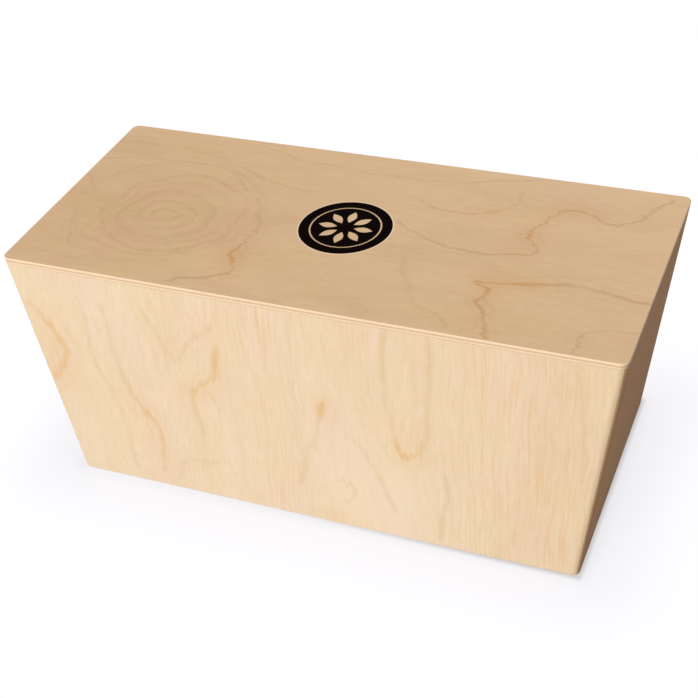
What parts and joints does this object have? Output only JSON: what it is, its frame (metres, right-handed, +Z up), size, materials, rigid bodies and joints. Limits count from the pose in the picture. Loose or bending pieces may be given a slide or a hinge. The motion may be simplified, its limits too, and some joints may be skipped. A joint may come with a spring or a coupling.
{
  "type": "bongo cajon",
  "caption": "Small birch box drum with sloping ends, a thin top playing plate, a low and a high chamber, and a round port behind each.",
  "frame": {"origin": "middle of the base, on the surface that the box stands on", "axes": "+X along the playing plate to the player's right, +Y away from the player towards the ports, +Z up to the playing face"},
  "size_m": [0.4, 0.178, 0.171],
  "materials": {
    "plate_birch": "clear matt lacquer on rotary-cut birch veneer, grain along X",
    "wall_birch": "clear matt lacquer on rotary-cut birch veneer, grain upright",
    "inner_birch": "bare sanded birch plywood",
    "glue_block_wood": "bare sawn softwood",
    "badge_black": "satin black print"
  },
  "bodies": {
    "root": {"playing_plate": "plate_birch", "badge_disc": "badge_black", "front_panel": "wall_birch", "rear_panel": "wall_birch", "left_end_panel": "wall_birch", "right_end_panel": "wall_birch", "bottom_panel": "inner_birch", "chamber_divider": "inner_birch", "corner_block_front_left": "glue_block_wood", "corner_block_front_right": "glue_block_wood", "corner_block_rear_left": "glue_block_wood", "corner_block_rear_right": "glue_block_wood"}
  },
  "joints": []
}
